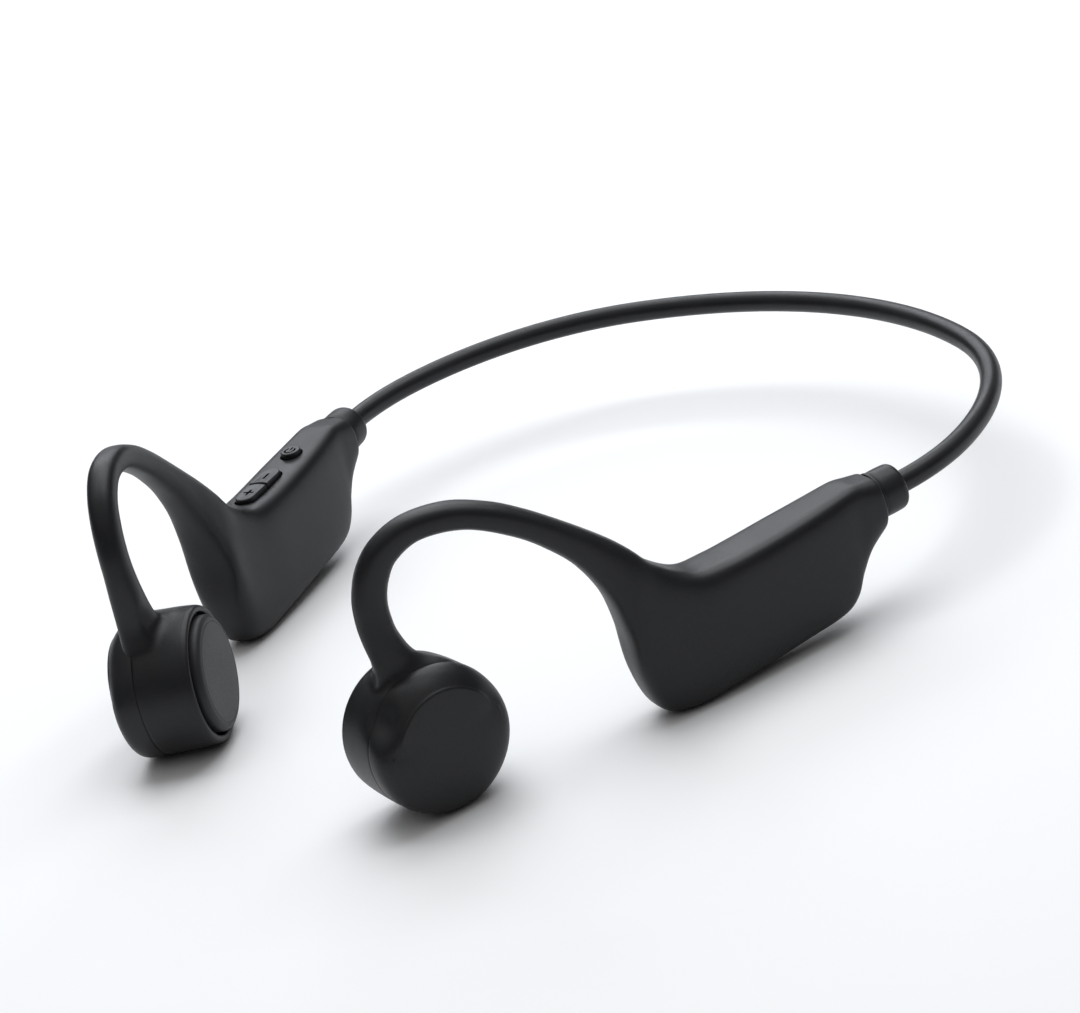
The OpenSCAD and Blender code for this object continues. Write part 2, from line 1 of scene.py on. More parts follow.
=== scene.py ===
"""Bone conduction headphones: the looks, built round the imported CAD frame.

Lengths are metres, in the CAD's frame: +X the wearer's left, -Y the front, +Z up.
Outlines are written in millimetres and scaled by MM.
"""

import json
import math

import bmesh
import bpy
import numpy as np
from mathutils import Matrix, Vector
from mathutils.bvhtree import BVHTree


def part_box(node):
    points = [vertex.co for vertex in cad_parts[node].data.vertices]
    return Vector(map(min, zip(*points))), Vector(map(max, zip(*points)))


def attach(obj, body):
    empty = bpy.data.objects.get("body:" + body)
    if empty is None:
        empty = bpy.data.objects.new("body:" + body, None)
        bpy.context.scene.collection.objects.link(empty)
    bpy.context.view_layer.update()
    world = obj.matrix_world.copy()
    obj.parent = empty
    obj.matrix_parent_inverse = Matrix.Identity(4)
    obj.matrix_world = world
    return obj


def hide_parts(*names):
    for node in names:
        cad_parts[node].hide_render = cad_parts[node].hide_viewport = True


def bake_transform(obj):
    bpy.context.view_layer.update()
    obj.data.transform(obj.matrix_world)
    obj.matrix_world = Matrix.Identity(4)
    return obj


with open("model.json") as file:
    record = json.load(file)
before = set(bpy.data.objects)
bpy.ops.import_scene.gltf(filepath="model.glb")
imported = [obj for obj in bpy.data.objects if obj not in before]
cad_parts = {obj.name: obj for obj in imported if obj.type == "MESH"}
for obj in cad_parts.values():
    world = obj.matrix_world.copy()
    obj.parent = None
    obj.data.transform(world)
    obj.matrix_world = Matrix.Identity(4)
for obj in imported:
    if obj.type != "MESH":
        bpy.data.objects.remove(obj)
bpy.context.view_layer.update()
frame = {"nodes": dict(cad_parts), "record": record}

MM = 0.001
SIDES = ("left", "right")
JOINTS = {j["name"]: j for j in frame["record"]["behaviour"]["joints"]}


# ---------------------------------------------------------------- camera and stage

# the camera's place in metres, and its right, up and backward directions
CAMERA_AT = Vector((0.6004, -0.5168, 0.3396))
CAMERA_RIGHT = Vector((0.7056, 0.6559, -0.2682))
CAMERA_UP = Vector((-0.0857, 0.4546, 0.8865))
CAMERA_BACK = Vector((0.7035, -0.6025, 0.3770))
CAMERA_LENS = 156.57
# (sine of elevation, colour): the surroundings are dark below the first and bright above the second
SKY_STOPS = ((0.30, (0.02, 0.02, 0.021, 1)), (0.85, (1.0, 1.0, 1.0, 1)))
SKY_STRENGTH = 0.55
FLOOR_HALF = 4
FLOOR_COLOUR = (0.92, 0.92, 0.925, 1)
# name, place, target, size, watts and tint of each softbox
SOFTBOXES = (
    ("overhead", (-0.15, 0.35, 1.1), (0, 0.02, 0), (1.2, 0.9), 11.5, (0.95, 0.975, 1.0)),
    ("back_softbox", (-0.95, 0.85, 0.75), (0, 0, 0.02), (1.1, 0.5), 6.8, (0.92, 0.95, 1.0)),
)


def make_camera():
    data = bpy.data.cameras.new("camera")
    data.lens = CAMERA_LENS
    data.sensor_width = 36
    data.clip_start = 0.01
    data.clip_end = 50
    camera = bpy.data.objects.new("camera", data)
    bpy.context.scene.collection.objects.link(camera)
    axes = Matrix((CAMERA_RIGHT, CAMERA_UP, CAMERA_BACK)).transposed()
    camera.matrix_world = Matrix.Translation(CAMERA_AT) @ axes.to_4x4()
    bpy.context.scene.camera = camera


def area_light(name, at, target, size, watts, tint):
    data = bpy.data.lights.new(name, "AREA")
    data.shape = "RECTANGLE"
    data.size, data.size_y = size
    data.energy = watts
    data.color = tint
    light = bpy.data.objects.new(name, data)
    bpy.context.scene.collection.objects.link(light)
    light.location = at
    light.rotation_euler = (Vector(target) - Vector(at)).to_track_quat("-Z", "Y").to_euler()


def make_stage():
    scene = bpy.context.scene
    scene.view_settings.view_transform = "Standard"
    world = bpy.data.worlds.new("studio")
    scene.world = world
    world.use_nodes = True
    nodes, links = world.node_tree.nodes, world.node_tree.links
    back = nodes["Background"]
    coord = nodes.new("ShaderNodeTexCoord")
    split = nodes.new("ShaderNodeSeparateXYZ")
    ramp = nodes.new("ShaderNodeValToRGB")
    for stop, (position, colour) in zip(ramp.color_ramp.elements, SKY_STOPS):
        stop.position = position
        stop.color = colour
    links.new(coord.outputs["Generated"], split.inputs[0])
    links.new(split.outputs["Z"], ramp.inputs[0])
    links.new(ramp.outputs[0], back.inputs["Color"])
    back.inputs["Strength"].default_value = SKY_STRENGTH
    for softbox in SOFTBOXES:
        area_light(*softbox)
    corners = ((-1, -1), (1, -1), (1, 1), (-1, 1))
    floor = new_mesh("floor", [(FLOOR_HALF * x, FLOOR_HALF * y, 0) for x, y in corners], [(0, 1, 2, 3)])
    mat = bpy.data.materials.new("pale_floor")
    mat.use_nodes = True
    shader = mat.node_tree.nodes["Principled BSDF"]
    shader.inputs["Base Color"].default_value = FLOOR_COLOUR
    shader.inputs["Roughness"].default_value = 0.7
    shader.inputs["Specular IOR Level"].default_value = 0.1
    floor.data.materials.append(mat)


# ---------------------------------------------------------------- mesh helpers

def new_mesh(name, points, faces):
    mesh = bpy.data.meshes.new(name)
    mesh.from_pydata([tuple(p) for p in points], [], [tuple(f) for f in faces])
    mesh.update()
    obj = bpy.data.objects.new(name, mesh)
    bpy.context.scene.collection.objects.link(obj)
    return obj


def smooth_step(t):
    """0 below 0, 1 above 1, and a soft S between them."""
    t = min(1, max(0, t))
    return t * t * (3 - 2 * t)


def shade_smooth(obj, angle=40):
    """Faces turned outward and shaded smooth, with edges sharper than angle, in degrees, kept crisp."""
    bm = bmesh.new()
    bm.from_mesh(obj.data)
    bmesh.ops.recalc_face_normals(bm, faces=bm.faces)
    limit = math.radians(angle)
    for face in bm.faces:
        face.smooth = True
    for edge in bm.edges:
        edge.smooth = edge.is_manifold and edge.calc_face_angle(0) < limit
    bm.to_mesh(obj.data)
    bm.free()
    return obj


def loft(name, rings):
    """A closed solid through rings of equal length."""
    n, m = len(rings), len(rings[0])
    points = [p for ring in rings for p in ring]
    faces = [
        (i * m + k, i * m + (k + 1) % m, (i + 1) * m + (k + 1) % m, (i + 1) * m + k)
        for i in range(n - 1)
        for k in range(m)
    ]
    faces.append(tuple(reversed(range(m))))
    faces.append(tuple(range((n - 1) * m, n * m)))
    return new_mesh(name, points, faces)


def circle_at(radius, height, turns):
    """Points of a level circle about Z, given in mm."""
    angles = (2 * math.pi * k / turns for k in range(turns))
    return [(radius * MM * math.cos(a), radius * MM * math.sin(a), height * MM) for a in angles]


def lathe(name, profile, turns=192):
    """A solid of revolution about Z from (radius, height) pairs in mm; ends on the axis close."""
    points, rows, faces = [], [], []
    for r, z in profile:
        if r < 1e-6:
            rows.append([len(points)] * turns)
            points.append((0, 0, z * MM))
        else:
            rows.append(list(range(len(points), len(points) + turns)))
            points += circle_at(r, z, turns)
    for a, b in zip(rows, rows[1:]):
        for k in range(turns):
            quad = [a[k], a[(k + 1) % turns], b[(k + 1) % turns], b[k]]
            face = list(dict.fromkeys(quad))
            if len(face) > 2:
                faces.append(face)
    return new_mesh(name, points, faces)


def place(obj, matrix):
    """Moves the mesh itself, so the object keeps the part's axes."""
    obj.data.transform(matrix)
    return obj


def boolean(obj, cutter, operation="DIFFERENCE"):
    """Cuts cutter from obj, or joins the two, and drops cutter; a mirrored cutter is turned outward first."""
    shade_smooth(cutter)
    modifier = obj.modifiers.new("cut", "BOOLEAN")
    modifier.operation = operation
    modifier.solver = "EXACT"
    modifier.object = cutter
    bpy.context.view_layer.update()
    graph = bpy.context.evaluated_depsgraph_get()
    mesh = bpy.data.meshes.new_from_object(obj.evaluated_get(graph))
    obj.modifiers.clear()
    obj.data = mesh
    bpy.data.objects.remove(cutter)
    return obj


# ---------------------------------------------------------------- materials

# share by which the colour drifts, pitch of the drift in mm, and how far the drift and the grain
# swing the roughness
MOTTLE = 0.12
MOTTLE_PITCH = 9
MOTTLE_GLOSS = 0.03
GRAIN_GLOSS = 0.05
SPECULAR = 0.3
# a noise texture keeps mostly within these values
NOISE_LOW, NOISE_HIGH = 0.3, 0.7


def material(name, colour, roughness, grain, grain_size=0.22, metal=0.0):
    """Moulded rubber, plastic or metal: mottled colour and roughness with a fine grain in the bump.

    grain is the bump's depth and grain_size its pitch, both in mm.
    """
    mat = bpy.data.materials.new(name)
    mat.use_nodes = True
    nodes, links = mat.node_tree.nodes, mat.node_tree.links
    shader = nodes["Principled BSDF"]
    shader.inputs["Metallic"].default_value = metal
    shader.inputs["Specular IOR Level"].default_value = SPECULAR
    coord = nodes.new("ShaderNodeTexCoord")

    def noise(pitch, detail):
        tex = nodes.new("ShaderNodeTexNoise")
        tex.inputs["Scale"].default_value = 1 / (pitch * MM)
        tex.inputs["Detail"].default_value = detail
        links.new(coord.outputs["Object"], tex.inputs["Vector"])
        return tex

    def spread(source, low, high):
        rng = nodes.new("ShaderNodeMapRange")
        rng.inputs["From Min"].default_value = NOISE_LOW
        rng.inputs["From Max"].default_value = NOISE_HIGH
        rng.inputs["To Min"].default_value = low
        rng.inputs["To Max"].default_value = high
        links.new(source.outputs["Fac"], rng.inputs["Value"])
        return rng

    broad = noise(MOTTLE_PITCH, 3)
    fine = noise(grain_size, 2)
    mix = nodes.new("ShaderNodeMix")
    mix.data_type = "RGBA"
    mix.inputs["A"].default_value = (*[c * (1 - MOTTLE) for c in colour], 1)
    mix.inputs["B"].default_value = (*[c * (1 + MOTTLE) for c in colour], 1)
    links.new(spread(broad, 0, 1).outputs[0], mix.inputs["Factor"])
    links.new(mix.outputs["Result"], shader.inputs["Base Color"])
    rough = nodes.new("ShaderNodeMath")
    rough.operation = "ADD"
    links.new(spread(broad, roughness - MOTTLE_GLOSS, roughness + MOTTLE_GLOSS).outputs[0], rough.inputs[0])
    links.new(spread(fine, -GRAIN_GLOSS, GRAIN_GLOSS).outputs[0], rough.inputs[1])
    links.new(rough.outputs[0], shader.inputs["Roughness"])
    bump = nodes.new("ShaderNodeBump")
    bump.inputs["Strength"].default_value = 1.0
    bump.inputs["Distance"].default_value = grain * MM
    links.new(fine.outputs["Fac"], bump.inputs["Height"])
    links.new(bump.outputs["Normal"], shader.inputs["Normal"])
    return mat


def make_materials():
    return {
        "skin": material("soft_touch_skin", (0.0125, 0.013, 0.0145), 0.42, grain=0.03),
        "cap": material("soft_touch_cap", (0.0145, 0.015, 0.0165), 0.41, grain=0.022),
        "pad": material("fine_grain_pad", (0.022, 0.0225, 0.025), 0.50, grain=0.03, grain_size=0.3),
        "sleeve": material("silicone_sleeve", (0.013, 0.0135, 0.015), 0.40, grain=0.012, grain_size=0.4),
        "key": material("key_plastic", (0.018, 0.0185, 0.020), 0.36, grain=0.010),
        "frame": material("frame_plastic", (0.025, 0.025, 0.027), 0.55, grain=0.02, grain_size=0.5),
        "steel": material("drawn_steel", (0.55, 0.56, 0.58), 0.28, grain=0.004, metal=1.0),
        "blued": material("blued_spring_steel", (0.05, 0.052, 0.06), 0.42, grain=0.004, metal=1.0),
        "nickel": material("nickel_plate", (0.68, 0.66, 0.62), 0.16, grain=0.002, metal=1.0),
        "copper": material(
            "enamelled_copper", (0.55, 0.22, 0.08), 0.3, grain=0.01, grain_size=0.15, metal=1.0
        ),
        "lead": material("lead_insulation", (0.30, 0.03, 0.02), 0.4, grain=0.01),
        "board": material("solder_mask", (0.01, 0.09, 0.04), 0.35, grain=0.012, grain_size=0.6),
        "foil": material("pouch_foil", (0.60, 0.61, 0.63), 0.35, grain=0.03, grain_size=1.6, metal=1.0),
        "foam": material("open_cell_foam", (0.035, 0.035, 0.036), 0.9, grain=0.15, grain_size=0.5),
    }


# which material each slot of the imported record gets
FINISH = {
    "sleeve_rubber": "sleeve",
    "skin_rubber": "skin",
    "cap_plastic": "cap",
    "pad_rubber": "pad",
    "key_plastic": "key",
    "frame_plastic": "frame",
    "spring_steel": "blued",
    "motor_steel": "steel",
    "magnet_nickel": "nickel",
    "copper_wire": "copper",
    "lead_insulation": "lead",
    "circuit_board": "board",
    "cell_foil": "foil",
    "foam": "foam",
}


def dress_cad_nodes(mats):
    """Procedural materials for the CAD's own nodes, which stay in view where nothing replaces them."""
    for sub in frame["record"]["subparts"]:
        node = frame["nodes"][sub["node"]]
        node.data.materials.clear()
        node.data.materials.append(mats[FINISH[sub["material_slot"]]])


def finish_piece(obj, mat, body, nodes):
    """Gives a piece its material, the body it rides on and the CAD nodes it stands in for."""
    obj.data.materials.clear()
    obj.data.materials.append(mat)
    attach(obj, body)
    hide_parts(*nodes)


# ---------------------------------------------------------------- the arm's outline

# from the outline's origin to the part's
SHIFT = Vector((0, 2.4, 0))
HOUSING_YAW = math.radians(16)
# how far the crown of each ear hook stands above the outline
HOOK_LIFT = {"left": -1.4, "right": 1.4}
# stations from the rear end, over the hook and down to the foot:
# top y, top z, bottom y, bottom z and half width in mm, then the squareness of the top and of the bottom
ARM = np.array([
    [9.2, 23.4, 9.2, 13.5, 4.9, 3.0, 2.2],
    [6.6, 23.9, 4.8, 10.5, 5.0, 4.0, 2.6],
    [4.0, 24.4, 2.0, 7.0, 5.1, 5.0, 3.0],
    [0.0, 24.2, 0.0, 4.0, 5.5, 5.4, 3.4],
    [-4.5, 23.9, -3.3, 2.4, 5.9, 5.6, 3.6],
    [-10.0, 23.6, -10.5, 1.8, 6.2, 5.8, 3.8],
    [-16.0, 23.3, -18.0, 1.2, 6.3, 5.8, 3.8],
    [-22.0, 23.2, -27.0, 0.5, 6.3, 5.6, 3.8],
    [-28.0, 23.9, -34.0, 0.1, 6.0, 5.0, 3.6],
    [-33.3, 27.6, -39.0, 2.2, 5.6, 4.2, 3.2],
    [-36.3, 31.8, -41.2, 9.5, 5.2, 3.6, 2.9],
    [-39.0, 35.2, -41.4, 18.0, 4.5, 3.2, 2.6],
    [-42.5, 39.0, -42.4, 26.0, 3.7, 3.0, 2.4],
    [-46.5, 43.0, -45.2, 33.2, 3.2, 2.8, 2.3],
    [-50.5, 46.7, -48.8, 38.4, 3.0, 2.7, 2.2],
    [-55.0, 50.1, -53.2, 43.0, 2.9, 2.6, 2.2],
    [-61.0, 52.9, -59.5, 47.3, 2.8, 2.6, 2.2],
    [-67.5, 53.1, -65.6, 48.3, 2.7, 2.5, 2.2],
    [-72.3, 50.5, -69.5, 46.2, 2.6, 2.5, 2.2],
    [-75.3, 46.3, -71.4, 43.0, 2.6, 2.4, 2.2],
    [-76.9, 41.3, -72.4, 39.4, 2.6, 2.4, 2.2],
    [-77.4, 36.8, -72.6, 36.0, 2.7, 2.4, 2.2],
    [-77.4, 32.5, -72.3, 32.3, 3.0, 2.9, 2.2],
    [-77.3, 27.7, -70.8, 27.7, 3.4, 3.6, 2.2],
    [-77.9, 24.0, -67.5, 25.2, 3.8, 4.4, 2.2],
    [-78.8, 20.5, -64.5, 22.0, 3.9, 4.8, 2.2],
])
LIFT_STATIONS = (9, 23)
# seen from above, the arm is straight behind BEND_Y and curves inward in front of it
BEND_Y, BEND_X, PLAN_CURVE = -28, 58, 0.0054
RING_POINTS = 80
SLICES = 8
# radius of the rear end's edge, its steps, and the length in mm of the first station's span
END_ROUND = 0.7
END_STEPS = 6
STATION_ZERO_PITCH = 4.2
# sections squarer than this are drawn in at the top and sides, by this much for each unit of squareness
SQUARE_FROM, DRAW_TOP, DRAW_SIDE = 2.6, 0.14, 0.05


def plan_x(y):
    """Distance of the arm's middle from the part's middle at y."""
    return BEND_X + math.tan(HOUSING_YAW) * (y - BEND_Y) - PLAN_CURVE * min(0, y - BEND_Y) ** 2


def plan_side(y):
    """Level direction across the arm at y."""
    slope = plan_x(y + 0.5) - plan_x(y - 0.5)
    return Vector((1, -slope, 0)).normalized()


def station(s):
    """Catmull-Rom value of the outline's rows at station s."""
    i = min(int(math.floor(s)), len(ARM) - 2)
    t = s - i

    def row(j):
        if j < 0:
            return 2 * ARM[0] - ARM[1]
        if j > len(ARM) - 1:
            return 2 * ARM[-1] - ARM[-2]
        return ARM[j]

    a, b, c, d = row(i - 1), row(i), row(i + 1), row(i + 2)
    square = (2 * a - 5 * b + 4 * c - d) * t * t
    cube = (3 * b - a - 3 * c + d) * t ** 3
    return 0.5 * (2 * b + (c - a) * t + square + cube)


def arm_section(side, s):
    """Middle, half height vector, half width vector and the two squarenesses, in mm."""
    q = station(s)
    first, last = LIFT_STATIONS
    up = HOOK_LIFT[side] * math.sin(math.pi * (s - first) / (last - first)) if first < s < last else 0
    top = Vector((plan_x(q[0]), q[0], q[1] + up))
    bottom = Vector((plan_x(q[2]), q[2], q[3] + up))
    return (top + bottom) / 2, (top - bottom) / 2, plan_side((q[0] + q[2]) / 2) * q[4], q[5], q[6]


def to_part(side, p):
    """A point of the left arm, in mm, moved to its place on either side, in metres."""
    q = Vector(p) + SHIFT
    return Vector((q.x if side == "left" else -q.x, q.y, q.z)) * MM


def arm_ring(side, s, inset=0.0):
    """The arm's section at station s, in mm: a rounded square, drawn in by inset."""
    middle, half, wide, top_e, bottom_e = arm_section(side, s)
    fuller = max(0, top_e - SQUARE_FROM)
    tall, broad = half.length - inset, wide.length - inset - DRAW_SIDE * fuller
    ring = []
    for k in range(RING_POINTS):
        a = 2 * math.pi * k / RING_POINTS
        upper = math.cos(a) > 0
        e = 2 / (top_e if upper else bottom_e)
        reach = tall - (DRAW_TOP * fuller if upper else 0)
        v = math.copysign(abs(math.cos(a)) ** e, math.cos(a)) * reach
        u = math.copysign(abs(math.sin(a)) ** e, math.sin(a)) * broad
        ring.append(middle + half.normalized() * v + wide.normalized() * u)
    return ring


def arm_rings(side, first, last):
    """Rings of the arm from station first to station last; at station 0 the end is rounded."""
    rings = []
    if first == 0:
        first = END_ROUND / STATION_ZERO_PITCH
        for step in range(END_STEPS):
            a = math.pi / 2 * step / END_STEPS
            back, inset = END_ROUND * math.sin(a), END_ROUND * (1 - math.cos(a))
            rings.append(arm_ring(side, (END_ROUND - back) / STATION_ZERO_PITCH, inset))
        rings.reverse()
    count = round((last - first) * SLICES)
    rings += [arm_ring(side, first + (last - first) * i / count) for i in range(count + 1)]
    return [[to_part(side, p) for p in ring] for ring in rings]


# ---------------------------------------------------------------- housing measures, in the housing's frame

HOUSING_Y = -18
POCKET_HALF = 4.2
KEY_X, KEY_GAP, KEY_FOOT = -0.2, 0.3, 19.6
POWER_Y, POWER_RADIUS, POWER_TOP = 12.4, 2.0, 24.35
VOLUME_Y, VOLUME_LENGTH, VOLUME_WIDTH, VOLUME_TOP = -0.85, 13.5, 4.2, 23.85
# the slit between the volume key's halves, and how far its middle bows to the rear
VOLUME_SLIT, SLIT_BOW = 0.3, 0.5
# depth of the marks; then the power mark: its ring's outer and inner radius, each with half the gap's
# angle, how far the ring is off the key's middle, and its bar's width, length and place
MARK_DEPTH = 0.4
POWER_RING = ((1.2, 0.6), (0.8, 0.78))
RING_SHIFT = -0.12
POWER_BAR = (0.4, 1.2, 0.6)
SIGN_WIDTH, SIGN_LENGTH = 0.55, 2.3
USB_Y, MIC_Y = 5.0, -12.0
COVER_WIDTH, COVER_LENGTH, COVER_CORNER = 5.2, 12.4, 1.4
RECESS_GAP = 0.3
SOCKET_WIDTH, SOCKET_LENGTH = 3.64, 9.44
MIC_RADIUS = 0.5


# ---------------------------------------------------------------- pods

# heights outward from the drum's centre, and radii, in mm
MAGNET_MIDDLE = -1.2
BODY_RADIUS = 13.0
WAIST = 3.0
RIM_CUT = -6.4
RIM_RADIUS = 12.3
RIM = -7.6
PAD_RADIUS = 10.6
LIP_RADIUS = 11.2
BORE_RADIUS = 11.4
# the cap's shoulder, and how square its soft edge is; lower is rounder
SHOULDER_RADIUS = 12.99
SHOULDER_FOOT = 3.3
SHOULDER_RISE = 5.48
SOFT_POWER = {"left": 3.2, "right": 5.5}
# share by which the crest over the face is drawn in
CREST_DRAW = 0.13
# how deep two hollows go on each side, as multiples of their push: the outer one below the foot's
# tip, and the one in the housing's front flank
HOLLOW_DEPTH = {"left": 1.35, "right": 0.15}
FLANK_DEPTH = {"left": 0.25, "right": 1.0}
# stations where the foot starts for blending and where it meets the hook's own mesh
FOOT_FROM = 19.5
FOOT_CUT = 20.5
# grid of the blended mesh, reach of the blend in mm and rounds of smoothing
VOXEL = 0.25
BLEND_REACH = 3.2
BLEND_ROUNDS = 90
# the junction turns from blended to crisp over this length, from this far forward, in mm
CRISP_FROM, CRISP_OVER = 3.5, 3.5
# metres from a cut plane within which a vertex counts as on it
ON_PLANE = 3e-6


def pod_matrix(side):
    """The pod's frame: Z along the outward normal, X down, at the drum's centre."""
    out = Vector(JOINTS[f"{side}_driver_vibration"]["axis"]).normalized()
    low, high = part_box(f"{side}_magnet")
    centre = (low + high) / 2 - out * MAGNET_MIDDLE * MM
    down = Vector((0, 0, -1))
    axes = Matrix((down, out.cross(down), out)).transposed()
    return Matrix.Translation(centre) @ axes.to_4x4()


def pod_point(side, down, forward, out):
    """A point or direction in the pod's frame, given the same way for both sides."""
    return Vector((down, -forward if side == "left" else forward, out))


def dent(obj, matrix, centre, radii, push):
    """Moves the surface about centre by push, fading out over the radii; all in mm, in the matrix's axes."""
    inverse, turn = matrix.inverted(), matrix.to_3x3()
    for v in obj.data.vertices:
        local = inverse @ v.co / MM
        far = sum(((local[k] - centre[k]) / radii[k]) ** 2 for k in range(3))
        if far < 9:
            v.co += turn @ push * (MM * math.exp(-far))


def dent_pod(obj, side):
    """The hollows under the foot's outer tip and on its inner side."""
    matrix = pod_matrix(side)
    push = pod_point(side, 0.75, -0.9, -0.4) * HOLLOW_DEPTH[side]
    dent(obj, matrix, pod_point(side, -8.3, 9.8, 5.0), (4.0, 2.9, 3.0), push)
    dent(obj, matrix, pod_point(side, -14.4, 6.4, -1.6), (3.4, 2.5, 2.7), pod_point(side, 0, 0, 0.9))


def quad_curve(a, b, c, steps):
    """Points of a quadratic curve from a to c that leaves a and reaches c along the lines to b."""
    points = []
    for i in range(steps + 1):
        t = i / steps
        u = 1 - t
        points.append(tuple(u * u * a[k] + 2 * u * t * b[k] + t * t * c[k] for k in range(2)))
    return points


def body_radius(z):
    """Radius of the pod's body at height z below its waist."""
    share = (z - WAIST) / (RIM - WAIST)
    return RIM_RADIUS + (BODY_RADIUS - RIM_RADIUS) * math.sqrt(max(0, 1 - share * share))


def shape_cap(cap, side):
    """Rounds the cap's shoulder, but for the top, which stays crisp and is drawn in to a crest."""
    base = Vector((0, 0, SHOULDER_FOOT * MM))
    power = SOFT_POWER[side]
    for v in cap.data.vertices:
        x, y, z = v.co / MM
        r = math.hypot(x, y)
        if z > SHOULDER_FOOT and r > 0:
            soft = 1 - smooth_step((-x / r - 0.15) / 0.55)
            reach = (r / SHOULDER_RADIUS) ** power + ((z - SHOULDER_FOOT) / SHOULDER_RISE) ** power
            v.co = base.lerp(v.co, 1 + soft * (reach ** (-1 / power) - 1))
            rise = min(1, (z - SHOULDER_FOOT) / 4.9) ** 2
            draw = CREST_DRAW * smooth_step(0.2 - x / r) * rise * min(1, r / 10)
            v.co.x *= 1 - draw
            v.co.y *= 1 - draw


def make_pod_cap(side, mats):
    face = [(0, 8.78), (3, 8.77), (5, 8.76), (6.5, 8.74), (7.5, 8.72), (8.5, 8.70), (9.5, 8.67), (10.5, 8.62)]
    edge = quad_curve((10.82, 8.60), (11.2, 8.58), (11.4, 8.30), 5)
    shoulder = quad_curve((11.46, 8.22), (12.8, 6.5), (SHOULDER_RADIUS, SHOULDER_FOOT), 18)
    seam = [(12.985, 2.96), (12.95, 2.89), (12.84, 2.86)]
    inside = [(12.42, 3.7), (11.8, 4.8), (10.5, 6.2), (9.0, 6.85), (0, 6.85)]
    cap = lathe(f"{side}_cap", face + edge + shoulder + seam + inside)
    shape_cap(cap, side)
    place(cap, pod_matrix(side))
    dent_pod(cap, side)
    shade_smooth(cap, 35)
    finish_piece(cap, mats["cap"], f"{side}_arm", [f"{side}_pod_cap"])


def make_contact_pad(side, mats):
    """The proud round pad, with a fine step round its face."""
    r = PAD_RADIUS
    back = [(0, -6.6), (r - 0.1, -6.6), (r, -6.75)]
    edge = quad_curve((r, -8.0), (r - 0.02, -8.75), (r - 0.85, -9.1), 10)
    step = [(r - 1.1, -9.17), (r - 1.3, -9.17), (r - 1.38, -9.11), (r - 1.46, -9.17)]
    face = [(r - 1.8, -9.2), (6, -9.21), (3, -9.22), (0, -9.22)]
    pad = lathe(f"{side}_cheek_pad", back + edge + step + face)
    place(pad, pod_matrix(side))
    shade_smooth(pad, 35)
    finish_piece(pad, mats["pad"], f"{side}_driver", [f"{side}_contact_pad"])


def drum_core():
    """The drum as a closed solid, a little smaller under the cap, for blending with the arm's foot."""
    top = [(0, 6.7), (9.0, 6.7), (10.4, 6.1), (11.7, 4.6), (12.3, 3.7), (12.66, 3.1)]
    side = [(12.97, 2.85)] + [(body_radius(z), z) for z in np.linspace(2.4, RIM + 0.3, 20)]
    return lathe("drum_core", top + side + [(RIM_RADIUS - 1, RIM), (0, RIM)], 160)


def voxel_remesh(obj, size):
    """The solid rebuilt on an even grid of size metres."""
    modifier = obj.modifiers.new("remesh", "REMESH")
    modifier.mode = "VOXEL"
    modifier.voxel_size = size
    bpy.context.view_layer.update()
    graph = bpy.context.evaluated_depsgraph_get()
    obj.data = bpy.data.meshes.new_from_object(obj.evaluated_get(graph))
    obj.modifiers.clear()
    return obj


def relax(points, edges, weight, rounds):
    """Moves each point towards the mean of its neighbours, by its weight, that many times."""
    count = np.bincount(edges.ravel(), minlength=len(points)).astype(float)
    for _ in range(rounds):
        total = np.zeros_like(points)
        for k in range(3):
            total[:, k] = np.bincount(edges[:, 0], points[edges[:, 1], k], len(points))
            total[:, k] += np.bincount(edges[:, 1], points[edges[:, 0], k], len(points))
        points += weight[:, None] * (total / count[:, None] - points)
    return points


def gap_to(tree, points):
    """Distance of each point from the surface in tree."""
    return np.array([tree.find_nearest(Vector(p))[3] for p in points])


def blended_foot(side):
    """The arm's foot flowing into the pod's body: both solids merged and their junction relaxed."""
    foot = loft("foot", arm_rings(side, FOOT_FROM, len(ARM) - 1))
    drum = place(drum_core(), pod_matrix(side))
    for obj in (foot, drum):
        shade_smooth(obj)
    graph = bpy.context.evaluated_depsgraph_get()
    trees = [BVHTree.FromObject(obj, graph) for obj in (foot, drum)]
    merged = voxel_remesh(boolean(drum, foot, "UNION"), VOXEL * MM)
    mesh = merged.data
    points = np.array([v.co for v in mesh.vertices])
    edges = np.array([e.vertices[:] for e in mesh.edges])
    points = relax(points, edges, np.full(len(points), 0.5), 4)
    far = np.maximum(gap_to(trees[0], points), gap_to(trees[1], points)) / MM
    near = np.clip(1 - far / BLEND_REACH, 0, 1)
    inverse = pod_matrix(side).inverted()
    flip = -1 if side == "left" else 1
    forward = np.array([flip * (inverse @ Vector(p)).y for p in points])
    crisp = np.clip((forward / MM - CRISP_FROM) / CRISP_OVER, 0, 1)
    weight = 0.9 * near * near * (3 - 2 * near) * (1 - 0.85 * crisp)
    points = relax(points, edges, weight, BLEND_ROUNDS)
    mesh.vertices.foreach_set("co", points.astype(np.float32).ravel())
    mesh.update()
    return merged


def cut_away(bm, at, normal):
    """Cuts bm by a plane and drops what lies beyond it."""
    geometry = bm.verts[:] + bm.edges[:] + bm.faces[:]
    bmesh.ops.bisect_plane(bm, geom=geometry, plane_co=at, plane_no=normal, clear_outer=True, dist=1e-7)
    loose = [e for e in bm.edges if not e.link_faces]
    bmesh.ops.delete(bm, geom=loose, context="EDGES")
    loose = [v for v in bm.verts if not v.link_edges]
    bmesh.ops.delete(bm, geom=loose, context="VERTS")


